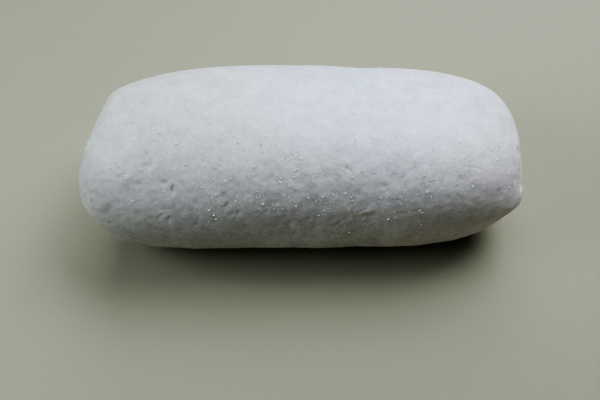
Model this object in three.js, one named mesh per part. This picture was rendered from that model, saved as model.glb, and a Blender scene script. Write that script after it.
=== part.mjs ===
// A loaf of raw wheat dough, shaped and ready for its last rise: a flattened sheet rolled up into
// one blunt-ended log, sagging a little under its own weight. Millimetres, +Z up, with the log
// along X. The origin is on the surface that the loaf lies on, under the middle of its box.

import * as THREE from 'three';
import { mergeVertices } from 'three/addons/utils/BufferGeometryUtils.js';

// The finished loaf.
const LENGTH = 200;
const WIDTH = 88.5;
const HEIGHT = 72;

// The cross-section, about a lengthwise axis at the level where the slumped log is widest.
const AXIS_HEIGHT = 33;
const CREST_RISE = 39; // from the axis up to the crest
const UNDERSIDE_DROP = 38; // from the axis down to where the dough would hang with nothing under it
const SECTION_POWER = 2.2; // 2 is an ellipse, and more is squarer
const UNDERSIDE_FULLNESS = 3.2; // above 1, the ends keep their full depth under the axis
const UNDERSIDE_FULLNESS_RIGHT = 1.9; // what it falls to at the right end's tip

// The crest falls towards both ends, and a little more to the right (+X), as parts of its rise.
const CREST_FALL = 0.055;
const CREST_FALL_RIGHT = 0.042;

// A slight waist, where the hands held the sheet as they rolled it up.
const WAIST_PLACE = 24.9;
const WAIST_REACH = 11.5;
const WAIST_DEPTH = 0.018; // part of the section

// Each end, with how blunt its front (-Y) and back (+Y) corners are: 2 is round, more is squarer.
// The coil is the roll's spiral edge, softened to a shallow groove on the end's face.
const LEFT_END = { side: -1, frontBluntness: 4.04, backBluntness: 4.28, coilStart: 0.2, coilDepth: 1.2 };
const RIGHT_END = { side: 1, frontBluntness: 2.88, backBluntness: 4.43, coilStart: 0.24, coilDepth: 1.7 };
const COIL_PITCH = 0.2; // growth of the spiral in a turn, as a part of the section
const COIL_GROOVE_WIDTH = 3; // from the middle of the groove to where it is a third as deep
const COIL_INNER = 0.08; // the groove rises out of the middle of the end from here
const COIL_OUTER = 0.54; // and has died away here, before the end's shoulder and its foot
const COIL_FADE = 0.14; // how far it takes to rise and to die away

// The left end is cut off at a slant: it reaches furthest at the front, and at its foot. The right
// end curves in under itself.
const SLANT_BY_DEPTH = 0.23; // mm along X for each mm towards the back
const SLANT_BY_HEIGHT = -0.226; // mm along X for each mm up from the axis
const RIGHT_TUCK = 12.9; // mm that the right end has drawn in by at its foot
const SLANT_GATHERING = 3; // power that keeps the slant and the tuck to the ends

// Both ends come forward, so that the log is bowed.
const BOW = 3.95;

// Bulges and hollows in the faces of the ends, which fade into the log. Each shifts the dough by
// so much along X and Y, round its middle in Y and Z. The last layer of the roll stops short of the
// left end, which bulges out behind it, and stands out as a lip at the front of the right end.
const LEFT_FEATURES = [
  { shiftX: 3.1, shiftY: 0, y: 3.2, z: 50.3, reachY: 19.9, reachUp: 19.9, reachDown: 19.9 },
  { shiftX: -4.2, shiftY: 0, y: 21.1, z: 58.5, reachY: 8.8, reachUp: 8.8, reachDown: 8.8 },
];
const RIGHT_FEATURES = [
  { shiftX: 4.4, shiftY: -1.6, y: -26.7, z: 36.4, reachY: 8.6, reachUp: 7.2, reachDown: 9.3 },
];
const LEFT_GATHERING = 4; // powers that keep them to the ends
const RIGHT_GATHERING = 5.7;

// Soft lumps that the hands leave, as waves that run through the dough in these directions.
const LUMPS = [
  { length: 67, height: 0.3, heading: new THREE.Vector3(1, 0.5, 0.4), phase: 0.6 },
  { length: 43, height: 0.25, heading: new THREE.Vector3(0.7, -1, 0.5), phase: 2.1 },
  { length: 29, height: 0.2, heading: new THREE.Vector3(0.5, 0.8, -1), phase: 4.4 },
];

// The mesh starts as a cube's grid, so that it has no poles, and is spaced for ends this blunt.
const SEGMENTS_ALONG = 52;
const SEGMENTS_ACROSS = 24;
const SEGMENTS_UP = 22;
const EVEN_BLUNTNESS = 4;

const DOUGH_COLOUR = 0xdad9d5;
const DOUGH_ROUGHNESS = 0.6;

const TINY = 1e-9;

// A smooth hill of height 1, which falls to about a third at one reach from its middle.
function hill(distance, reach) {
  return Math.exp(-((distance / reach) ** 2));
}

// Where a place in the cube's even grid goes, so that the bent grid is still nearly even.
function evenedAlong(u) {
  const part = u * 2 ** (-1 / EVEN_BLUNTNESS);
  return part * (1 - Math.abs(part) ** EVEN_BLUNTNESS) ** (-1 / EVEN_BLUNTNESS);
}

function evenedRound(v) {
  return Math.tan((v * Math.PI) / 4);
}

function endAt(along) {
  return along < 0 ? LEFT_END : RIGHT_END;
}

// Where a point of the cube from -1 to 1 lies in the loaf: `along` runs from -1 to 1 between the
// ends' tips, and `ring` from 0 on the axis to 1 on the surface of the middle section.
function loafCoordinates(u, v, w) {
  const section = (Math.abs(v) ** SECTION_POWER + Math.abs(w) ** SECTION_POWER) ** (1 / SECTION_POWER);
  const end = endAt(u);
  const towardsBack = 0.5 + (0.5 * v) / Math.max(Math.hypot(v, w), TINY);
  const bluntness = THREE.MathUtils.lerp(end.frontBluntness, end.backBluntness, towardsBack);
  const shrink = (Math.abs(u) ** bluntness + section ** bluntness) ** (-1 / bluntness);
  return {
    along: u * shrink,
    ring: section * shrink,
    across: v / Math.max(section, TINY),
    up: w / Math.max(section, TINY),
  };
}

// Height over the axis: a rounded crest above it, and below it an underside that stays deep
// nearly to the ends.
function heightOverAxis({ along, ring, up }) {
  if (up > 0) {
    const crest = CREST_RISE * (1 - CREST_FALL_RIGHT * along - CREST_FALL * along ** 2);
    return crest * ring * up;
  }
  const toRight = Math.max(along, 0) ** 2;
  const fullness = THREE.MathUtils.lerp(UNDERSIDE_FULLNESS, UNDERSIDE_FULLNESS_RIGHT, toRight);
  const depth = UNDERSIDE_DROP * (1 - (1 - Math.min(ring, 1)) ** fullness);
  return depth * up;
}

// How strongly a bulge or hollow in an end's face moves a place.
function strengthAt(feature, y, z) {
  const reachZ = z > feature.z ? feature.reachUp : feature.reachDown;
  return hill(y - feature.y, feature.reachY) * hill(z - feature.z, reachZ);
}

function logPoint(place) {
  const halfLength = LENGTH / 2;
  const waist = 1 - WAIST_DEPTH * hill(place.along * halfLength - WAIST_PLACE, WAIST_REACH);
  const rise = heightOverAxis(place) * waist;
  const depth = (WIDTH / 2) * place.ring * place.across * waist;
  const y = depth - BOW * place.along ** 2;
  const z = AXIS_HEIGHT + rise;
  const reach = Math.abs(place.along);
  const point = new THREE.Vector3(halfLength * place.along, y, z);
  let features = LEFT_FEATURES;
  let gathered = reach ** LEFT_GATHERING;
  let slant = SLANT_BY_DEPTH * depth + SLANT_BY_HEIGHT * rise;
  if (place.along > 0) {
    features = RIGHT_FEATURES;
    gathered = reach ** RIGHT_GATHERING;
    slant = -RIGHT_TUCK * (Math.min(rise, 0) / AXIS_HEIGHT) ** 2;
  }
  point.x += slant * reach ** SLANT_GATHERING;
  for (const feature of features) {
    const strength = gathered * strengthAt(feature, y, z);
    point.x += feature.shiftX * strength;
    point.y += feature.shiftY * strength;
  }
  return point;
}

// Depth of the softened spiral that the rolled-up sheet shows on each end.
function coilGroove({ along, ring, across, up }) {
  const end = endAt(along);
  const turn = Math.atan2(up, across * end.side) / (2 * Math.PI);
  const layers = (ring - end.coilStart) / COIL_PITCH - turn;
  const fromGroove = (layers - Math.round(layers)) * COIL_PITCH * (WIDTH / 2);
  const rising = THREE.MathUtils.smoothstep(ring, COIL_INNER, COIL_INNER + COIL_FADE);
  const dying = 1 - THREE.MathUtils.smoothstep(ring, COIL_OUTER - COIL_FADE, COIL_OUTER);
  return end.coilDepth * hill(fromGroove, COIL_GROOVE_WIDTH) * rising * dying;
}

function handLumps(point) {
  let height = 0;
  for (const lump of LUMPS) {
    const travel = point.dot(lump.heading) / lump.heading.length();
    height += lump.height * Math.sin((2 * Math.PI * travel) / lump.length + lump.phase);
  }
  return height;
}

function loafGeometry() {
  const grid = new THREE.BoxGeometry(2, 2, 2, SEGMENTS_ALONG, SEGMENTS_ACROSS, SEGMENTS_UP);
  grid.deleteAttribute('normal');
  grid.deleteAttribute('uv');
  const geometry = mergeVertices(grid);
  const position = geometry.attributes.position;
  const places = [];
  for (let i = 0; i < position.count; i += 1) {
    const u = evenedAlong(position.getX(i));
    const v = evenedRound(position.getY(i));
    const w = evenedRound(position.getZ(i));
    const place = loafCoordinates(u, v, w);
    const point = logPoint(place);
    places.push(place);
    position.setXYZ(i, point.x, point.y, point.z);
  }

  // The relief is raised and sunk square to the smooth log, which is then set down: what would
  // reach below the surface that it lies on is pressed flat there.
  geometry.computeVertexNormals();
  const point = new THREE.Vector3();
  const normal = new THREE.Vector3();
  for (let i = 0; i < position.count; i += 1) {
    point.fromBufferAttribute(position, i);
    normal.fromBufferAttribute(geometry.attributes.normal, i);
    point.addScaledVector(normal, handLumps(point) - coilGroove(places[i]));
    position.setXYZ(i, point.x, point.y, Math.max(point.z, 0));
  }
  return fitToSize(geometry);
}

// Brings the loaf to its exact size, with its underside on z = 0 and its box centred on the origin.
function fitToSize(geometry) {
  geometry.computeBoundingBox();
  const size = geometry.boundingBox.getSize(new THREE.Vector3());
  const middle = geometry.boundingBox.getCenter(new THREE.Vector3());
  geometry.translate(-middle.x, -middle.y, 0);
  geometry.scale(LENGTH / size.x, WIDTH / size.y, HEIGHT / size.z);
  geometry.computeVertexNormals();
  return geometry;
}

const rawDough = new THREE.MeshStandardMaterial({
  color: DOUGH_COLOUR,
  roughness: DOUGH_ROUGHNESS,
  metalness: 0,
});

const dough = new THREE.Mesh(loafGeometry(), rawDough);
dough.name = 'dough';

const loaf = new THREE.Group();
loaf.add(dough);

export default loaf;
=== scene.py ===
"""A loaf of raw wheat dough, shaped and ready for its last rise, in plain studio light.

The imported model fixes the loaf's size and place. This script gives the loaf its real skin: the
soft lumps, dents, creases and pinholes of dough rolled up by hand, and the grains that cling to
it. Sizes are in millimetres up to the point where a mesh is made, and in metres from there.
"""

import logging
import math
import random
from dataclasses import dataclass, field
from enum import Enum

import bmesh
import bpy
import numpy as np
from mathutils import Euler, Matrix, Vector, noise


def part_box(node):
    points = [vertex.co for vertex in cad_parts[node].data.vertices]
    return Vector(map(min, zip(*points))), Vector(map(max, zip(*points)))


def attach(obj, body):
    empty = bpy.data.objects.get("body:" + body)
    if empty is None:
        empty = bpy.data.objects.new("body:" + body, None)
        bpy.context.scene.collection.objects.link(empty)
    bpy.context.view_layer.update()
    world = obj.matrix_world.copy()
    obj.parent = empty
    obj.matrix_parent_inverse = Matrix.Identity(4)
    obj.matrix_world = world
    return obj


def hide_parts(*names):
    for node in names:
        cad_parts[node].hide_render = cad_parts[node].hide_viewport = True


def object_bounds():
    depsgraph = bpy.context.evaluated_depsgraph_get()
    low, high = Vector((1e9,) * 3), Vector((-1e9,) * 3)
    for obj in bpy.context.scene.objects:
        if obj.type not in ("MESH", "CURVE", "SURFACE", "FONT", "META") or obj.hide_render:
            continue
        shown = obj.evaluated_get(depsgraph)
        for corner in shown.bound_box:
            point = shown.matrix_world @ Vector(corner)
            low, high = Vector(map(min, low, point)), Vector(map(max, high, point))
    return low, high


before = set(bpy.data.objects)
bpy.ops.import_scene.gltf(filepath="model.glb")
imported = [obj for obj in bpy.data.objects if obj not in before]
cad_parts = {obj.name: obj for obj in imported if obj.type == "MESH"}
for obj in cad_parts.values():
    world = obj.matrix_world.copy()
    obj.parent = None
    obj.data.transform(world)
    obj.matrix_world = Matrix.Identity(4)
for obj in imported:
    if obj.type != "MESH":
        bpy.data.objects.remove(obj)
cad_low, cad_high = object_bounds()

Array = np.ndarray
Tree = bpy.types.NodeTree
Socket = bpy.types.NodeSocket
Range = tuple[float, float]
SkinPlace = tuple[float, float]  # how far along the log, and round it from the front's middle

MM = 0.001
AXIS_HEIGHT = 33.0  # millimetres, of the log's lengthwise axis, where the log is widest
MEAN_RADIUS = 40.0  # millimetres, from that axis to where lengths round the log are taken
BILLOW_MIDDLE = 0.4  # taken off billows, so that they neither swell nor sink the skin as a whole
LOG = logging.getLogger("loaf")


# --------------------------------------------------------------------------------------------
# Small helpers
# --------------------------------------------------------------------------------------------


def hill(distance: Array, reach: float | Array) -> Array:
    """A smooth hill of height 1, which falls to about a third at one reach from its middle."""
    return np.exp(-((distance / reach) ** 2))


def smoothstep(value: Array, low: float, high: float) -> Array:
    """A smooth rise from 0 at low to 1 at high, or a fall where low is the larger."""
    part = np.clip((value - low) / (high - low), 0.0, 1.0)
    return part * part * (3.0 - 2.0 * part)


def linear(hex_colour: str) -> tuple[float, float, float, float]:
    """Turns an sRGB hex colour into the linear colour that shaders and lights take.

    Args:
        hex_colour: Six hex digits after a hash sign.

    Returns:
        Linear red, green and blue, and an alpha of 1.
    """
    channels = (int(hex_colour[i : i + 2], 16) / 255 for i in (1, 3, 5))
    # The standard sRGB curve: a straight foot, and a power above it.
    red, green, blue = (
        c / 12.92 if c <= 0.04045 else ((c + 0.055) / 1.055) ** 2.4 for c in channels
    )
    return red, green, blue, 1.0


def add_node(
    tree: Tree, kind: str, links: dict[str | int, object] | None = None, **settings: object
) -> bpy.types.Node:
    """Adds a node to a tree, with its settings and what feeds it.

    Args:
        tree: The node tree.
        kind: The node's type name, such as "ShaderNodeBump".
        links: Input name or number to the output socket that feeds it, or to a constant.
        **settings: The node's own properties.

    Returns:
        The new node.
    """
    node = tree.nodes.new(kind)
    for name, value in settings.items():
        setattr(node, name, value)
    for name, value in (links or {}).items():
        if isinstance(value, bpy.types.NodeSocket):
            tree.links.new(value, node.inputs[name])
        else:
            node.inputs[name].default_value = value
    return node


def new_material(name: str) -> tuple[bpy.types.Material, Tree]:
    """Makes an empty node material.

    Args:
        name: What the real material is.

    Returns:
        The material, and its node tree.
    """
    material = bpy.data.materials.new(name)
    material.use_nodes = True
    material.node_tree.nodes.clear()
    return material, material.node_tree


def object_from(
    name: str, mesh: bpy.types.Mesh, material: bpy.types.Material
) -> bpy.types.Object:
    """Puts a mesh with its one material into the scene, at the origin.

    Args:
        name: The object's name.
        mesh: Its finished mesh, in metres.
        material: What all of it is made of.

    Returns:
        The object.
    """
    mesh.materials.append(material)
    piece = bpy.data.objects.new(name, mesh)
    bpy.context.scene.collection.objects.link(piece)
    return piece


# --------------------------------------------------------------------------------------------
# Finishes
# --------------------------------------------------------------------------------------------


@dataclass(frozen=True)
class RawWheatDough:
    """Raw white-flour dough, kneaded smooth and rolled up.

    It is an off-white, slightly see-through paste: light goes a few millimetres into it, so that
    shade has soft edges. A thin skin of moisture gives it a faint sheen, broken by fine grain. Its
    colour holds painted light: it is darker towards the left end and lighter towards the right, a
    painted falloff of the light, and the top has a painted bluish reflection of the sky.
    """

    # Painted light: the paste is darker at the left end and lighter at the right, a painted falloff
    # of the lamps' light along the log.
    lit_right_colour: str = "#EDE5E2"
    dim_left_colour: str = "#CBCCC6"
    painted_falloff_span: Range = (-115.0 * MM, 115.0 * MM)  # along the log
    # Painted reflection: a soft bluish patch on the top that stands for cool sky light reflected
    # there.
    painted_sky_colour: str = "#DBDFED"
    painted_sky_place: tuple[float, float, float] = (28.0 * MM, 12.0 * MM, 68.0 * MM)
    painted_sky_reach: tuple[float, float, float] = (115.0 * MM, 58.0 * MM, 58.0 * MM)
    painted_sky_share: float = 0.9
    # Dry flour clings in faint patches, about as wide as a palm leaves them.
    floury_colour: str = "#DFDACD"
    patch_size: float = 40.0 * MM
    patch_levels: Range = (0.45, 0.75)  # of the noise, where the flour begins and is thickest
    patch_share: float = 0.3
    # Kneading leaves the paste uneven, in flecks that go down from the size of a fingertip. They
    # show more low down than on the smoothed top.
    mottle_size: float = 9.0 * MM
    mottle_detail: float = 5.0
    mottle_roughness: float = 0.95
    mottle_heights: Range = (28.0 * MM, 62.0 * MM)
    mottle_shares: Range = (1.2, 0.9)  # of the brightness, at those heights
    # Bits of bran that came through the sieve.
    bran_colour: str = "#A08A6A"
    bran_spacing: float = 13.0 * MM
    bran_size: float = 0.35 * MM
    bran_core: float = 0.4  # the part of a bit that has its full colour
    bran_share: float = 0.55
    # Flour is ground to 0.1 or 0.2 mm, which is too fine to show, so the grain is drawn coarser.
    grain_size: float = 0.8 * MM
    grain_height: float = 0.1 * MM
    grain_detail: float = 2.0
    grain_roughness: float = 0.6
    roughness: float = 0.5
    roughness_swing: float = 0.08  # between the wetter and the drier flecks
    swing_levels: Range = (0.3, 0.7)  # of the noise, for the same
    refraction: float = 1.45
    scatter_share: float = 0.7
    scatter_depth: float = 2.5 * MM
    scatter_radius: tuple[float, float, float] = (1.0, 0.97, 0.9)

    def build(self) -> bpy.types.Material:
        """Builds the material.

        Returns:
            The material.
        """
        material, tree = new_material("raw_wheat_dough")
        place = add_node(tree, "ShaderNodeTexCoord").outputs["Object"]
        axes = add_node(tree, "ShaderNodeSeparateXYZ", {"Vector": place})
        mottle = add_node(
            tree,
            "ShaderNodeTexNoise",
            {
                "Vector": place,
                "Scale": 1 / self.mottle_size,
                "Detail": self.mottle_detail,
                "Roughness": self.mottle_roughness,
            },
        )
        paste = self.paste_colour(tree, place, axes.outputs["X"])
        dusted = self.floury(tree, place, paste)
        flecked = self.mottled(tree, dusted, mottle.outputs["Fac"], axes.outputs["Z"])
        colour = self.with_bran(tree, place, flecked)
        gloss = add_node(
            tree,
            "ShaderNodeMapRange",
            {
                "Value": mottle.outputs["Fac"],
                "From Min": self.swing_levels[0],
                "From Max": self.swing_levels[1],
                "To Min": self.roughness - self.roughness_swing,
                "To Max": self.roughness + self.roughness_swing,
            },
        )
        shader = add_node(
            tree,
            "ShaderNodeBsdfPrincipled",
            {
                "Base Color": colour,
                "Roughness": gloss.outputs["Result"],
                "IOR": self.refraction,
                "Normal": self.grain(tree, place),
                "Subsurface Weight": self.scatter_share,
                "Subsurface Radius": self.scatter_radius,
                "Subsurface Scale": self.scatter_depth,
            },
        )
        add_node(tree, "ShaderNodeOutputMaterial", {"Surface": shader.outputs["BSDF"]})
        return material

    def paste_colour(self, tree: Tree, place: Socket, along: Socket) -> Socket:
        """Colours the paste with painted light: a falloff along the log, and a bluish sky on top.

        Args:
            tree: The material's tree.
            place: Object coordinates.
            along: Their X.

        Returns:
            The colour.
        """
        # Painted falloff of light: the colour goes from the dim left end to the lit right end.
        painted_falloff = add_node(
            tree,
            "ShaderNodeMapRange",
            {
                "Value": along,
                "From Min": self.painted_falloff_span[0],
                "From Max": self.painted_falloff_span[1],
            },
        )
        plain = add_node(
            tree,
            "ShaderNodeMix",
            {
                "Factor": painted_falloff.outputs["Result"],
                "A": linear(self.dim_left_colour),
                "B": linear(self.lit_right_colour),
            },
            data_type="RGBA",
        )
        # Painted bluish reflection of the sky, fading out from its place on top.
        centred = add_node(
            tree, "ShaderNodeVectorMath", {0: place, 1: self.painted_sky_place}, operation="SUBTRACT"
        )
        scaled = add_node(
            tree,
            "ShaderNodeVectorMath",
            {0: centred.outputs["Vector"], 1: self.painted_sky_reach},
            operation="DIVIDE",
        )
        away = add_node(
            tree, "ShaderNodeVectorMath", {0: scaled.outputs["Vector"]}, operation="LENGTH"
        )
        painted_sky_cover = add_node(
            tree,
            "ShaderNodeMapRange",
            {
                "Value": away.outputs["Value"],
                "From Min": 1.0,
                "From Max": 0.0,
                "To Max": self.painted_sky_share,
            },
            interpolation_type="SMOOTHSTEP",
        )
        sky_tinted = add_node(
            tree,
            "ShaderNodeMix",
            {
                "Factor": painted_sky_cover.outputs["Result"],
                "A": plain.outputs["Result"],
                "B": linear(self.painted_sky_colour),
            },
            data_type="RGBA",
        )
        return sky_tinted.outputs["Result"]

    def floury(self, tree: Tree, place: Socket, colour: Socket) -> Socket:
        """Dusts a colour with faint patches of dry flour.

        Args:
            tree: The material's tree.
            place: Object coordinates.
            colour: The colour under the flour.

        Returns:
            The dusted colour.
        """
        patches = add_node(
            tree,
            "ShaderNodeTexNoise",
            {"Vector": place, "Scale": 1 / self.patch_size, "Detail": 2.0},
        )
        cover = add_node(
            tree,
            "ShaderNodeMapRange",
            {
                "Value": patches.outputs["Fac"],
                "From Min": self.patch_levels[0],
                "From Max": self.patch_levels[1],
                "To Max": self.patch_share,
            },
        )
        dusted = add_node(
            tree,
            "ShaderNodeMix",
            {
                "Factor": cover.outputs["Result"],
                "A": colour,
                "B": linear(self.floury_colour),
            },
            data_type="RGBA",
        )
        return dusted.outputs["Result"]

    def mottled(self, tree: Tree, colour: Socket, mottle: Socket, height: Socket) -> Socket:
        """Makes a colour lighter and darker in flecks.

        Args:
            tree: The material's tree.
            colour: The even colour.
            mottle: The flecks' noise.
            height: How high up each place is.

        Returns:
            The uneven colour.
        """
        share = add_node(
            tree,
            "ShaderNodeMapRange",
            {
                "Value": height,
                "From Min": self.mottle_heights[0],
                "From Max": self.mottle_heights[1],
                "To Min": self.mottle_shares[0],
                "To Max": self.mottle_shares[1],
            },
        )
        uneven = add_node(tree, "ShaderNodeMath", {0: mottle, 1: 0.5}, operation="SUBTRACT")
        brightness = add_node(
            tree,
            "ShaderNodeMath",
            {0: uneven.outputs["Value"], 1: share.outputs["Result"], 2: 1.0},
            operation="MULTIPLY_ADD",
        )
        flecked = add_node(
            tree,
            "ShaderNodeVectorMath",
            {0: colour, "Scale": brightness.outputs["Value"]},
            operation="SCALE",
        )
        return flecked.outputs["Vector"]

    def with_bran(self, tree: Tree, place: Socket, colour: Socket) -> Socket:
        """Puts a few bits of bran in the paste.

        Args:
            tree: The material's tree.
            place: Object coordinates.
            colour: The paste's colour.

        Returns:
            The colour with its specks.
        """
        bits = add_node(
            tree, "ShaderNodeTexVoronoi", {"Vector": place, "Scale": 1 / self.bran_spacing}
        )
        edge = self.bran_size / self.bran_spacing
        bran = add_node(
            tree,
            "ShaderNodeMapRange",
            {
                "Value": bits.outputs["Distance"],
                "From Min": self.bran_core * edge,
                "From Max": edge,
                "To Min": self.bran_share,
                "To Max": 0.0,
            },
        )
        specked = add_node(
            tree,
            "ShaderNodeMix",
            {"Factor": bran.outputs["Result"], "A": colour, "B": linear(self.bran_colour)},
            data_type="RGBA",
        )
        return specked.outputs["Result"]

    def grain(self, tree: Tree, place: Socket) -> Socket:
        """Breaks up the sheen with the flour's grain.

        Args:
            tree: The material's tree.
            place: Object coordinates.

        Returns:
            The bumped normal.
        """
        grit = add_node(
            tree,
            "ShaderNodeTexNoise",
            {
                "Vector": place,
                "Scale": 1 / self.grain_size,
                "Detail": self.grain_detail,
                "Roughness": self.grain_roughness,
            },
        )
        bump = add_node(
            tree,
            "ShaderNodeBump",
            {"Height": grit.outputs["Fac"], "Distance": self.grain_height, "Strength": 1.0},
        )
        return bump.outputs["Normal"]


@dataclass(frozen=True)
class CoarseFlourGrain:
    """Hard, glassy bits of coarse flour and salt, which glint where a flat face faces the light."""

    colour: str = "#F3F2EE"
    dull_colour: str = "#D9D5CB"
    roughness: float = 0.28
    refraction: float = 1.54
    tint_size: float = 6.0 * MM  # over which neighbouring grains change their colour

    def build(self) -> bpy.types.Material:
        """Builds the material.

        Returns:
            The material.
        """
        material, tree = new_material("coarse_flour_grain")
        place = add_node(tree, "ShaderNodeTexCoord").outputs["Object"]
        tint = add_node(tree, "ShaderNodeTexNoise", {"Vector": place, "Scale": 1 / self.tint_size})
        colour = add_node(
            tree,
            "ShaderNodeMix",
            {
                "Factor": tint.outputs["Fac"],
                "A": linear(self.dull_colour),
                "B": linear(self.colour),
            },
            data_type="RGBA",
        )
        shader = add_node(
            tree,
            "ShaderNodeBsdfPrincipled",
            {
                "Base Color": colour.outputs["Result"],
                "Roughness": self.roughness,
                "IOR": self.refraction,
            },
        )
        add_node(tree, "ShaderNodeOutputMaterial", {"Surface": shader.outputs["BSDF"]})
        return material


@dataclass(frozen=True)
class PalePaint:
    """Matt pale paint, as on a plain studio floor."""

    colour: str = "#A9A58D"
    roughness: float = 0.8

    def build(self) -> bpy.types.Material:
        """Builds the material.

        Returns:
            The material.
        """
        material, tree = new_material("pale_floor_paint")
        shader = add_node(
            tree,
            "ShaderNodeBsdfPrincipled",
            {"Base Color": linear(self.colour), "Roughness": self.roughness},
        )
        add_node(tree, "ShaderNodeOutputMaterial", {"Surface": shader.outputs["BSDF"]})
        return material


# --------------------------------------------------------------------------------------------
# The form of the log
# --------------------------------------------------------------------------------------------


class Side(Enum):
    """The two ends of the log, by their sign along X."""

    LEFT = -1
    RIGHT = 1


@dataclass(frozen=True)
class LogEnd:
    """One end: how blunt its front and back corners are, and its softened spiral."""

    side: Side
    front_bluntness: float
    back_bluntness: float
    coil_start: float
    coil_depth: float


@dataclass(frozen=True)
class EndFeature:
    """A bulge or hollow in the face of an end, in millimetres, which fades into the log."""

    shift: tuple[float, float]
    y: float
    z: float
    reach_y: float
    reach_up: float
    reach_down: float
    gathering: float

    def strength(self, reach: Array, y: Array, z: Array) -> Array:
        """How much of its shift each point takes, whose reach is 1 at the end's tip."""
        reach_z = np.where(z > self.z, self.reach_up, self.reach_down)
        return reach**self.gathering * hill(y - self.y, self.reach_y) * hill(z - self.z, reach_z)


@dataclass(frozen=True)
class HandLump:
    """A soft wave that the hands left running through the dough."""

    length: float
    height: float
    heading: tuple[float, float, float]
    phase: float

    def rise(self, points: Array) -> Array:
        """How far the wave lifts the skin.

        Args:
            points: Points of the skin, one a row.

        Returns:
            A lift for each point.
        """
        heading = np.array(self.heading)
        travel = points @ heading / np.linalg.norm(heading)
        return self.height * np.sin(2 * np.pi * travel / self.length + self.phase)


@dataclass
class LogCoordinates:
    """Where points lie in the log: along from -1 to 1, ring from 0 on the axis to 1 on the side."""

    along: Array
    ring: Array
    across: Array
    up: Array


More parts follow.
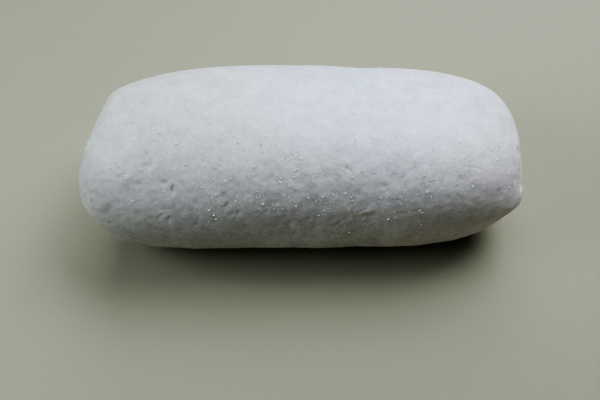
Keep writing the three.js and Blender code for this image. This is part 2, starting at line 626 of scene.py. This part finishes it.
@dataclass
class LogForm:
    """The log's true form, from the same named sizes as its solid, in millimetres."""

    length: float = 200.0
    width: float = 88.5
    axis_height: float = AXIS_HEIGHT
    crest_rise: float = 39.0
    underside_drop: float = 38.0
    section_power: float = 2.2
    underside_fullness: float = 3.2
    underside_fullness_right: float = 1.9
    crest_fall: float = 0.055
    crest_fall_right: float = 0.042
    waist_place: float = 24.9
    waist_reach: float = 11.5
    waist_depth: float = 0.018
    left_end: LogEnd = LogEnd(Side.LEFT, 4.04, 4.28, 0.2, 1.2)
    right_end: LogEnd = LogEnd(Side.RIGHT, 2.88, 4.43, 0.24, 1.7)
    coil_pitch: float = 0.2
    coil_groove_width: float = 3.0
    coil_inner: float = 0.08
    coil_outer: float = 0.54
    coil_fade: float = 0.14
    slant_by_depth: float = 0.23
    slant_by_height: float = -0.226
    right_tuck: float = 12.9
    slant_gathering: float = 3.0
    bow: float = 3.95
    left_features: tuple[EndFeature, ...] = (
        EndFeature((3.1, 0.0), 3.2, 50.3, 19.9, 19.9, 19.9, gathering=4.0),
        EndFeature((-4.2, 0.0), 21.1, 58.5, 8.8, 8.8, 8.8, gathering=4.0),
    )
    right_features: tuple[EndFeature, ...] = (
        EndFeature((4.4, -1.6), -26.7, 36.4, 8.6, 7.2, 9.3, gathering=5.7),
    )
    lumps: tuple[HandLump, ...] = (
        HandLump(67.0, 0.3, (1.0, 0.5, 0.4), 0.6),
        HandLump(43.0, 0.25, (0.7, -1.0, 0.5), 2.1),
        HandLump(29.0, 0.2, (0.5, 0.8, -1.0), 4.4),
    )
    # The cube's grid is spaced for ends this blunt, and is drawn together round the front's rough
    # skin, most of all at this angle up from the level.
    even_bluntness: float = 4.0
    finest_angle: float = 28.0
    refining: float = 0.42

    def evened(self, cube: Array) -> Array:
        """Spaces a cube's even grid so that it stays nearly even once it is bent to the log.

        Args:
            cube: Points of the cube from -1 to 1, one a row.

        Returns:
            The same points, moved within their faces.
        """
        blunt = self.even_bluntness
        part = cube[:, 0] * 2 ** (-1 / blunt)
        lengthwise = part * (1 - np.abs(part) ** blunt) ** (-1 / blunt)
        return np.column_stack([lengthwise, np.tan(cube[:, 1:] * np.pi / 4)])

    @staticmethod
    def by_end(along: Array, left: float, right: float) -> Array:
        """The left end's value or the right end's, for each place along the log."""
        return np.where(along < 0, left, right)

    def coordinates(self, cube: Array) -> LogCoordinates:
        """Places points of a cube's surface in the log, closest on the front's rough skin.

        Args:
            cube: Points of the cube from -1 to 1, one a row.

        Returns:
            Their coordinates in the log.
        """
        u, v, w = cube.T
        power = self.section_power
        section = (np.abs(v) ** power + np.abs(w) ** power) ** (1 / power)
        angle = np.arctan2(w, v)
        angle -= self.refining * np.sin(angle - np.pi + math.radians(self.finest_angle))
        v, w = np.cos(angle), np.sin(angle)
        towards_back = 0.5 + 0.5 * v
        left, right = self.left_end, self.right_end
        front = self.by_end(u, left.front_bluntness, right.front_bluntness)
        back = self.by_end(u, left.back_bluntness, right.back_bluntness)
        bluntness = front + (back - front) * towards_back
        shrink = (np.abs(u) ** bluntness + section**bluntness) ** (-1 / bluntness)
        reach = (np.abs(v) ** power + np.abs(w) ** power) ** (1 / power)
        return LogCoordinates(u * shrink, section * shrink, v / reach, w / reach)

    def points(self, place: LogCoordinates) -> Array:
        """The smooth log's points, before any relief and before it is set down.

        Args:
            place: Coordinates in the log.

        Returns:
            Points in millimetres, one a row.
        """
        half_length = self.length / 2
        along, ring, across, up = place.along, place.ring, place.across, place.up
        crest = self.crest_rise * (1 - self.crest_fall_right * along - self.crest_fall * along**2)
        left_reach, right_reach = np.maximum(-along, 0), np.maximum(along, 0)
        fall = (self.underside_fullness - self.underside_fullness_right) * right_reach**2
        fullness = self.underside_fullness - fall
        drop = self.underside_drop * (1 - (1 - np.minimum(ring, 1)) ** fullness)
        from_waist = along * half_length - self.waist_place
        waist = 1 - self.waist_depth * hill(from_waist, self.waist_reach)
        rise = np.where(up > 0, crest * ring * up, drop * up) * waist
        depth = self.width / 2 * ring * across * waist
        left_slant = self.slant_by_depth * depth + self.slant_by_height * rise
        right_tuck = self.right_tuck * (np.minimum(rise, 0) / self.axis_height) ** 2
        slant = np.where(along > 0, -right_tuck, left_slant)
        x = half_length * along + slant * np.abs(along) ** self.slant_gathering
        y = depth - self.bow * along**2
        z = self.axis_height + rise
        moved = np.column_stack([x, y, z])
        by_end = ((left_reach, self.left_features), (right_reach, self.right_features))
        for reach, features in by_end:
            for feature in features:
                moved[:, :2] += feature.strength(reach, y, z)[:, None] * np.array(feature.shift)
        return moved

    def coil_groove(self, place: LogCoordinates) -> Array:
        """Sinks the softened spiral that the rolled-up sheet shows on each end.

        Args:
            place: Coordinates in the log.

        Returns:
            A depth for each place.
        """
        left, right = self.left_end, self.right_end
        side = self.by_end(place.along, left.side.value, right.side.value)
        turn = np.arctan2(place.up, place.across * side) / (2 * np.pi)
        start = self.by_end(place.along, left.coil_start, right.coil_start)
        layers = (place.ring - start) / self.coil_pitch - turn
        from_groove = (layers - np.round(layers)) * self.coil_pitch * self.width / 2
        rising = smoothstep(place.ring, self.coil_inner, self.coil_inner + self.coil_fade)
        dying = 1 - smoothstep(place.ring, self.coil_outer - self.coil_fade, self.coil_outer)
        depth = self.by_end(place.along, left.coil_depth, right.coil_depth)
        return depth * hill(from_groove, self.coil_groove_width) * rising * dying

    def hand_lumps(self, points: Array) -> Array:
        """How far the lumps lift the skin at each point."""
        return sum(lump.rise(points) for lump in self.lumps)


# --------------------------------------------------------------------------------------------
# Marks in the skin
# --------------------------------------------------------------------------------------------


@dataclass
class Unrolled:
    """The skin laid out flat: along the log, and round it from the front's middle."""

    along: Array
    girth: Array


@dataclass(frozen=True)
class Dent:
    """A soft oval dent, or a blister where its depth is negative."""

    along: float
    girth: float
    half_length: float
    half_width: float
    depth: float
    turn: float = 0.0

    def rise(self, skin: Unrolled) -> Array:
        """How far the dent lifts the skin, which is mostly less than nothing.

        Args:
            skin: The skin, laid out flat.

        Returns:
            A lift for each point.
        """
        turn = math.radians(self.turn)
        cosine, sine = math.cos(turn), math.sin(turn)
        dx, dy = skin.along - self.along, skin.girth - self.girth
        lengthwise = dx * cosine + dy * sine
        crosswise = dy * cosine - dx * sine
        return -self.depth * hill(lengthwise, self.half_length) * hill(crosswise, self.half_width)


@dataclass(frozen=True)
class Crease:
    """A short fold in the skin along a shallow arc, with a lip raised on its left as it runs."""

    start: SkinPlace
    finish: SkinPlace
    bow: float
    half_width: float
    depth: float
    lip: float
    lip_place: float = 1.7  # from the crease's middle, in half widths
    lip_width: float = 1.1  # in half widths

    def rise(self, skin: Unrolled) -> Array:
        """How far the crease sinks the skin, and its lip lifts it.

        Args:
            skin: The skin, laid out flat.

        Returns:
            A lift for each point.
        """
        run = np.array(self.finish) - np.array(self.start)
        length = float(np.linalg.norm(run))
        ahead = run / length
        dx, dy = skin.along - self.start[0], skin.girth - self.start[1]
        part = (dx * ahead[0] + dy * ahead[1]) / length
        inside = np.clip(part, 0.0, 1.0)
        arch = 4 * inside * (1 - inside)
        beyond = (part - inside) * length
        sideways = dy * ahead[0] - dx * ahead[1] - self.bow * arch
        fade = np.sqrt(arch) * hill(beyond, self.half_width)
        groove = self.depth * hill(sideways, self.half_width)
        from_lip = sideways - self.lip_place * self.half_width
        lip = self.lip * hill(from_lip, self.lip_width * self.half_width)
        return fade * (lip - groove)


@dataclass(frozen=True)
class EndFold:
    """The edge of the roll's outer layer on an end: a groove along a path through these points."""

    path: tuple[tuple[float, float, float], ...]
    half_width: float
    depth: float

    def rise(self, points: Array) -> Array:
        """How far the fold lifts the skin, which is never more than nothing.

        Args:
            points: Points of the skin, one a row.

        Returns:
            A lift for each point.
        """
        nearest = np.full(len(points), np.inf)
        for start, finish in zip(self.path, self.path[1:]):
            begin, run = np.array(start), np.array(finish) - np.array(start)
            part = np.clip((points - begin) @ run / (run @ run), 0.0, 1.0)
            away = np.linalg.norm(points - begin - part[:, None] * run, axis=1)
            nearest = np.minimum(nearest, away)
        return -self.depth * hill(nearest, self.half_width)


@dataclass(frozen=True)
class NoiseLayer:
    """One scale of unevenness. Billows are round bumps with narrow valleys between them."""

    size: float
    height: float
    billowed: bool = False

    def rise(self, points: Array, shift: Vector) -> Array:
        """How far the layer lifts the skin at each point."""
        values = np.array([noise.noise(Vector(p) / self.size + shift) for p in points])
        return self.height * (2 * np.abs(values) - BILLOW_MIDDLE if self.billowed else values)


@dataclass
class KneadedTexture:
    """The uneven skin low down, where the hands didn't smooth it, and the calm skin on top."""

    seed: int = 11
    layers: tuple[NoiseLayer, ...] = (
        NoiseLayer(10.0, 0.26),
        NoiseLayer(5.0, 0.12, billowed=True),
        NoiseLayer(2.6, 0.08),
        NoiseLayer(1.5, 0.06),
    )
    calm_part: float = 0.3  # how rough the top is, where the rough skin is 1
    rough_front: Range = (76.0, 40.0)  # degrees up from the front, from calm to rough
    rough_back: Range = (140.0, 172.0)
    stretch: float = 0.95  # of the unevenness along the log

    def roughness(self, angle: Array) -> Array:
        """How rough the skin is.

        Args:
            angle: Degrees round the log, up from the front.

        Returns:
            A part from the calm part up to 1, for each angle.
        """
        front = smoothstep(angle, *self.rough_front)
        back = smoothstep(angle, *self.rough_back)
        return self.calm_part + (1 - self.calm_part) * np.maximum(front, back)

    def rise(self, points: Array, angle: Array) -> Array:
        """How far the texture lifts the skin.

        Args:
            points: Points of the skin, one a row.
            angle: Their degrees round the log.

        Returns:
            A lift for each point.
        """
        squeezed = points * np.array([1 / self.stretch, 1.0, 1.0])
        rise = np.zeros(len(points))
        for number, layer in enumerate(self.layers):
            # Each layer reads the noise in a place of its own, so that none repeats another.
            shift = Vector((self.seed, -self.seed * number, 0.5 * self.seed))
            rise += layer.rise(squeezed, shift)
        return self.roughness(angle) * rise


# --------------------------------------------------------------------------------------------
# The pieces
# --------------------------------------------------------------------------------------------


@dataclass
class DoughSkin:
    """The whole surface of the loaf, in place of its plain solid."""

    form: LogForm = field(default_factory=LogForm)
    texture: KneadedTexture = field(default_factory=KneadedTexture)
    finish: RawWheatDough = field(default_factory=RawWheatDough)
    segments: tuple[int, int, int] = (276, 84, 72)  # of the cube's grid, along X, Y and Z
    inset: float = 0.05  # that the skin stays inside the solid's box
    seed: int = 5
    ends: Range = (-88.0, 90.0)  # between which the chance marks lie along the log
    # Small dents, most of them on the rough skin of the front and the rest on the back's.
    dent_count: int = 260
    dent_sizes: Range = (0.6, 1.5)
    dent_stretches: Range = (1.0, 1.7)
    dent_depths: Range = (0.03, 0.16)  # for each millimetre of size
    dent_turns: Range = (-70.0, 70.0)
    front_share: float = 0.7
    front_girths: tuple[float, float, float] = (-4.0, 46.0, 20.0)  # lowest, highest and busiest
    back_girths: Range = (108.0, 135.0)
    # Little gas holes in the calm skin on top.
    pinhole_count: int = 22
    pinhole_radius: float = 0.55
    pinhole_girths: Range = (28.0, 108.0)
    pinhole_depths: Range = (0.15, 0.35)
    # Pits where a bubble broke, drawn out by the rolling.
    pit_widths: Range = (0.6, 0.9)
    pit_stretches: Range = (1.0, 2.2)
    pit_depths: Range = (0.2, 0.4)
    pit_turns: Range = (10.0, 50.0)
    # Wide, shallow swells and hollows of the slumped front.
    sags: tuple[Dent, ...] = (
        Dent(-66.0, 8.0, 26.0, 12.0, -1.2),
        Dent(36.0, 9.0, 22.0, 11.0, 0.6),
        Dent(38.0, 38.0, 23.0, 15.0, -0.9),
        Dent(-84.0, 12.0, 16.0, 12.0, -1.3),
    )
    # The marks that stand out most: nicks, creases and blisters.
    marks: tuple[Dent | Crease, ...] = (
        Dent(-55.6, 26.3, 0.6, 1.7, 0.9, turn=-8.0),
        Crease((-64.0, 12.4), (-59.0, 16.4), 0.5, 0.6, 0.24, 0.1),
        Crease((-87.5, 12.0), (-77.0, 20.5), 1.6, 1.2, 0.28, 0.1),
        Dent(-91.1, 18.0, 0.8, 1.0, 0.4),
        Dent(-91.3, 22.0, 0.7, 0.7, 0.3),
        Crease((21.3, 29.7), (12.0, 35.8), -1.75, 0.45, 0.28, 0.1),
        Crease((28.0, 17.3), (22.5, 15.0), -0.3, 0.7, 0.22, 0.3),
        Dent(39.4, 12.3, 0.8, 0.7, -0.45),
        Dent(51.5, 24.4, 0.8, 0.7, -0.4),
        Dent(18.6, 16.7, 0.7, 0.6, -0.35),
        Dent(28.7, 13.9, 1.3, 0.8, 0.4, turn=25.0),
        Dent(14.7, 9.7, 0.8, 0.7, 0.35),
        Dent(11.6, 11.9, 0.9, 0.7, 0.3),
        Dent(26.8, 9.6, 1.0, 0.7, 0.35),
        Crease((66.0, 34.6), (75.0, 33.4), 0.3, 0.6, 0.14, 0.06),
    )
    pits: tuple[SkinPlace, ...] = (
        (-84.0, 9.0),
        (-69.7, 27.9),
        (-58.9, 28.7),
        (-58.6, 13.4),
        (-50.5, 32.1),
        (-46.7, 11.0),
        (-38.6, 11.6),
        (-37.8, 33.5),
        (-33.4, 19.5),
        (-28.2, 16.4),
        (-16.7, 17.0),
        (-11.9, 20.7),
        (-11.2, 9.1),
        (-1.8, 10.6),
        (1.9, 13.2),
        (3.0, 20.7),
        (8.0, 19.0),
        (13.6, 9.0),
        (17.6, 12.1),
        (26.3, 13.5),
        (26.7, 18.2),
        (33.6, 26.6),
        (39.3, 21.0),
        (42.2, 15.2),
        (46.4, 15.6),
    )
    pinholes: tuple[SkinPlace, ...] = (
        (-83.9, 55.7),
        (-56.4, 59.9),
        (-42.8, 37.1),
        (-37.7, 68.9),
        (3.1, 51.3),
        (11.6, 48.2),
        (15.0, 45.3),
        (17.6, 34.6),
        (26.4, 55.0),
        (49.8, 49.9),
    )
    right_fold: EndFold = EndFold(
        ((95.9, -10.0, 53.5), (97.3, -15.8, 48.0), (97.6, -22.1, 42.4)), 1.3, 1.6
    )

    def scattered(self) -> list[Dent]:
        """Draws the pits and small dents of the rough skin, and the pinholes of the calm skin.

        Returns:
            The marks, in the order in which they are drawn.
        """
        draw = random.Random(self.seed)
        dents = []
        for along, girth in self.pits:
            width = draw.uniform(*self.pit_widths)
            length = width * draw.uniform(*self.pit_stretches)
            depth, turn = draw.uniform(*self.pit_depths), draw.uniform(*self.pit_turns)
            dents.append(Dent(along, girth, length, width, depth, turn))
        for _ in range(self.dent_count):
            size = draw.uniform(*self.dent_sizes)
            along = draw.uniform(*self.ends)
            if draw.random() < self.front_share:
                girth = draw.triangular(*self.front_girths)
            else:
                girth = draw.uniform(*self.back_girths)
            length = size * draw.uniform(*self.dent_stretches)
            depth, turn = draw.uniform(*self.dent_depths) * size, draw.uniform(*self.dent_turns)
            dents.append(Dent(along, girth, length, size, depth, turn))
        by_chance = [
            (draw.uniform(*self.ends), draw.uniform(*self.pinhole_girths))
            for _ in range(self.pinhole_count)
        ]
        radius = self.pinhole_radius
        for along, girth in (*self.pinholes, *by_chance):
            dents.append(Dent(along, girth, radius, radius, draw.uniform(*self.pinhole_depths)))
        return dents

    def cube_grid(self) -> bmesh.types.BMesh:
        """Cuts a cube into an even grid along each of its axes.

        Returns:
            The grid, from -1 to 1.
        """
        bm = bmesh.new()
        bmesh.ops.create_cube(bm, size=2.0)
        for axis, count in enumerate(self.segments):
            uncut = []
            for edge in bm.edges:
                start, finish = edge.verts
                if abs(start.co[axis] - finish.co[axis]) > 1.0:
                    uncut.append(edge)
            bmesh.ops.subdivide_edges(bm, edges=uncut, cuts=count - 1, use_grid_fill=True)
        return bm

    @staticmethod
    def normals_at(bm: bmesh.types.BMesh, points: Array) -> Array:
        """Moves a mesh's vertices to points, and reads the normals that it then has there.

        Args:
            bm: The mesh.
            points: Where each of its vertices goes.

        Returns:
            A normal for each vertex, one a row.
        """
        for vertex, point in zip(bm.verts, points):
            vertex.co = point
        bm.normal_update()
        return np.array([vertex.normal for vertex in bm.verts])

    def fitted(self, points: Array, inset: float = 0.0) -> Array:
        """Fits points to the solid's box, which holds the loaf's exact size and place.

        Args:
            points: The loaf's points, in millimetres.
            inset: How far inside the box they stay, except underneath.

        Returns:
            The same points, pressed flat underneath and fitted.
        """
        pressed = points.copy()
        pressed[:, 2] = np.maximum(pressed[:, 2], 0.0)
        low, high = (np.array(corner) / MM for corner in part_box("dough"))
        low[:2] += inset
        high -= inset
        from_low, from_high = pressed.min(0), pressed.max(0)
        return low + (pressed - from_low) * (high - low) / (from_high - from_low)

    def shape(self, bm: bmesh.types.BMesh) -> None:
        """Bends the cube's grid into the log, and raises the relief of its skin.

        Args:
            bm: The grid, in the cube's own units. It ends up as the loaf, in metres.
        """
        place = self.form.coordinates(self.form.evened(np.array([v.co for v in bm.verts])))
        smooth = self.form.points(place)
        swell = self.form.hand_lumps(smooth) - self.form.coil_groove(place)
        plain = self.fitted(smooth + self.normals_at(bm, smooth) * swell[:, None])

        x, y, z = plain.T
        angle = np.degrees(np.arctan2(z - self.form.axis_height, -y))
        skin = Unrolled(x, np.radians(angle) * MEAN_RADIUS)
        relief = self.texture.rise(plain, angle) + self.right_fold.rise(plain)
        for mark in (*self.sags, *self.marks, *self.scattered()):
            relief += mark.rise(skin)
        finished = self.fitted(plain + self.normals_at(bm, plain) * relief[:, None], self.inset)
        for vertex, point in zip(bm.verts, finished * MM):
            vertex.co = point

    def build(self) -> bpy.types.Object:
        """Builds the skin, and puts it in the solid's place.

        Returns:
            The skin's object.
        """
        bm = self.cube_grid()
        self.shape(bm)
        for face in bm.faces:
            face.smooth = True
        mesh = bpy.data.meshes.new("dough_skin")
        bm.to_mesh(mesh)
        bm.free()
        piece = object_from("dough_skin", mesh, self.finish.build())
        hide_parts("dough")
        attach(piece, "root")
        return piece


@dataclass
class ClingingGrains:
    """Coarse grains of flour and salt stuck to the skin, most of them low on its front."""

    skin: bpy.types.Object
    finish: CoarseFlourGrain = field(default_factory=CoarseFlourGrain)
    seed: int = 23
    count: int = 880
    # Each is a flat block with one width of this range, and most are near its small end.
    size: Range = (0.3, 0.8)
    size_power: int = 3
    width_shares: Range = (0.6, 1.0)
    thickness_shares: Range = (0.3, 0.6)
    standing: float = 0.1  # how far a grain's middle stands off the skin, for its size
    level_share: float = 0.35  # of grains that lie level, where the rest lie along the skin
    tilt: float = math.radians(14.0)
    # Where they cling: a few everywhere, more round this angle up the front, fewer on its right.
    base_share: float = 0.12
    busiest_angle: float = 52.0
    spread: float = 33.0
    fewer_right: float = 0.6
    fewer_from: float = 60.0  # millimetres along the log, where that is reached
    clumps: tuple[SkinPlace, ...] = (
        (-73.5, 51.5),
        (-65.0, 36.5),
        (-73.0, 31.5),
        (-89.0, 21.5),
        (-36.0, 23.5),
        (-17.0, 22.3),
        (-41.5, 11.0),
        (-4.0, 36.5),
        (-3.5, 12.2),
        (20.0, 25.3),
        (22.5, 13.8),
        (9.0, 16.2),
        (40.5, 21.0),
        (33.0, 36.5),
        (50.0, 31.0),
        (67.0, 26.0),
        (80.0, 45.0),
        (13.5, 9.0),
    )
    clump_reach: float = 3.5
    clump_share: float = 3.0
    clearance: float = 0.8  # between a grain's place and the solid's box

    def share(self, place: Vector) -> float:
        """How readily grains stick at a place: most of all in clumps, and then low on the front.

        Args:
            place: A place on the skin, in millimetres.

        Returns:
            A share of 0 or more.
        """
        angle = math.atan2(place.z - AXIS_HEIGHT, -place.y)
        from_clump = min(
            math.hypot(place.x - along, angle * MEAN_RADIUS - girth)
            for along, girth in self.clumps
        )
        front = hill(math.degrees(angle) - self.busiest_angle, self.spread)
        front *= 1 - self.fewer_right * smoothstep(place.x, 0.0, self.fewer_from)
        return self.base_share + front + self.clump_share * hill(from_clump, self.clump_reach)

    def chosen(self, draw: random.Random) -> list[tuple[Vector, Vector]]:
        """Picks the places on the skin, by how busy each part of it is.

        Args:
            draw: The seeded source of chance.

        Returns:
            Each grain's place and the skin's normal there, in metres.
        """
        vertices = self.skin.data.vertices
        picked = []
        while len(picked) < self.count:
            vertex = vertices[draw.randrange(len(vertices))]
            room = min(min(vertex.co - cad_low), min(cad_high - vertex.co)) / MM
            if room < self.clearance:
                continue
            if draw.random() * (1 + self.clump_share) < self.share(vertex.co / MM):
                picked.append((vertex.co.copy(), vertex.normal.copy()))
        return picked

    def build(self) -> bpy.types.Object:
        """Builds all the grains as one mesh.

        Returns:
            The grains' object.
        """
        draw = random.Random(self.seed)
        bm = bmesh.new()
        for place, normal in self.chosen(draw):
            small, large = self.size
            size = (small + (large - small) * draw.random() ** self.size_power) * MM
            width = draw.uniform(*self.width_shares)
            thickness = draw.uniform(*self.thickness_shares)
            shape = Matrix.Diagonal((1.0, width, thickness, 1.0))
            tilt = [draw.gauss(0.0, self.tilt) for _ in range(2)] + [draw.uniform(0, math.tau)]
            facing = Vector((0.0, 0.0, 1.0)) if draw.random() < self.level_share else normal
            turn = facing.to_track_quat("Z", "Y").to_matrix() @ Euler(tilt).to_matrix()
            stuck = Matrix.Translation(place + normal * size * self.standing)
            made = bmesh.ops.create_cube(bm, size=size)
            bmesh.ops.transform(bm, verts=made["verts"], matrix=stuck @ turn.to_4x4() @ shape)
        mesh = bpy.data.meshes.new("flour_grains")
        bm.to_mesh(mesh)
        bm.free()
        piece = object_from("flour_grains", mesh, self.finish.build())
        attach(piece, "root")
        return piece


# --------------------------------------------------------------------------------------------
# The studio
# --------------------------------------------------------------------------------------------


@dataclass(frozen=True)
class Softbox:
    """A square softbox that looks at the loaf, with its sizes in metres.

    An azimuth of 0 is behind the loaf, and 90 is on its right.
    """

    name: str
    azimuth: float
    elevation: float
    distance: float
    size: float
    power: float
    colour: str

    def build(self, target: Vector) -> bpy.types.Object:
        """Hangs the softbox.

        Args:
            target: What it looks at.

        Returns:
            The light's object.
        """
        across, up = math.radians(self.azimuth), math.radians(self.elevation)
        level = math.cos(up)
        away = Vector((math.sin(across) * level, math.cos(across) * level, math.sin(up)))
        data = bpy.data.lights.new(self.name, "AREA")
        data.shape = "SQUARE"
        data.size = self.size
        data.energy = self.power
        data.color = linear(self.colour)[:3]
        light = bpy.data.objects.new(self.name, data)
        light.location = target + away * self.distance
        light.rotation_euler = (-away).to_track_quat("-Z", "Y").to_euler()
        bpy.context.scene.collection.objects.link(light)
        return light


@dataclass
class Studio:
    """The plain floor, the soft light and the camera at the photograph's angle."""

    floor_finish: PalePaint = field(default_factory=PalePaint)
    floor_size: float = 6.0  # metres
    sky_colour: str = "#E8EEF5"
    sky_strength: float = 0.01
    softboxes: tuple[Softbox, ...] = (
        Softbox("key_softbox", 50.0, 58.0, 0.6, 0.35, 2.6, "#EAF3FF"),
        Softbox("low_softbox", 0.0, 45.0, 1.2, 0.6, 3.9, "#EAF3FF"),
        Softbox("top_softbox", 0.0, 90.0, 1.2, 0.6, 1.5, "#E3F2FB"),
        Softbox("side_softbox", -100.0, 35.0, 0.5, 0.25, 0.9, "#E8F2FE"),
    )
    lens: float = 40.0
    sensor_width: float = 36.0
    camera_elevation: float = 60.0
    camera_distance: float = 310.1  # millimetres, from the camera to what it is aimed at
    aim: tuple[float, float, float] = (-1.9, -21.7, 30.0)  # millimetres

    def build(self) -> None:
        """Builds the floor, the lights, the sky and the camera."""
        self.build_floor()
        middle = (cad_low + cad_high) / 2
        for softbox in self.softboxes:
            softbox.build(middle)
        self.build_sky()
        self.build_camera()
        view = bpy.context.scene.view_settings
        view.view_transform = "AgX"
        view.look = "AgX - Very High Contrast"

    def build_floor(self) -> None:
        """Lays the plain pale floor under the loaf."""
        bm = bmesh.new()
        bmesh.ops.create_grid(bm, x_segments=1, y_segments=1, size=self.floor_size / 2)
        mesh = bpy.data.meshes.new("floor")
        bm.to_mesh(mesh)
        bm.free()
        object_from("floor", mesh, self.floor_finish.build())

    def build_sky(self) -> None:
        """Sets the even light that the room gives back."""
        world = bpy.data.worlds.new("room_light")
        world.use_nodes = True
        world.node_tree.nodes.clear()
        sky = add_node(
            world.node_tree,
            "ShaderNodeBackground",
            {"Color": linear(self.sky_colour), "Strength": self.sky_strength},
        )
        add_node(world.node_tree, "ShaderNodeOutputWorld", {"Surface": sky.outputs["Background"]})
        bpy.context.scene.world = world

    def build_camera(self) -> None:
        """Sets up the camera in front of the loaf and above it."""
        data = bpy.data.cameras.new("camera")
        data.lens = self.lens
        data.sensor_width = self.sensor_width
        camera = bpy.data.objects.new("camera", data)
        up = math.radians(self.camera_elevation)
        away = Vector((0.0, -math.cos(up), math.sin(up)))
        camera.location = (Vector(self.aim) + away * self.camera_distance) * MM
        camera.rotation_euler = (-away).to_track_quat("-Z", "Y").to_euler()
        bpy.context.scene.collection.objects.link(camera)
        bpy.context.scene.camera = camera


def main() -> None:
    """Builds the loaf and the studio, piece by piece."""
    logging.basicConfig(level=logging.INFO, format="%(name)s: %(message)s")
    skin = DoughSkin().build()
    LOG.info("%s: %d faces", skin.name, len(skin.data.polygons))
    grains = ClingingGrains(skin).build()
    LOG.info("%s: %d faces", grains.name, len(grains.data.polygons))
    Studio().build()


if __name__ == "__main__":
    main()
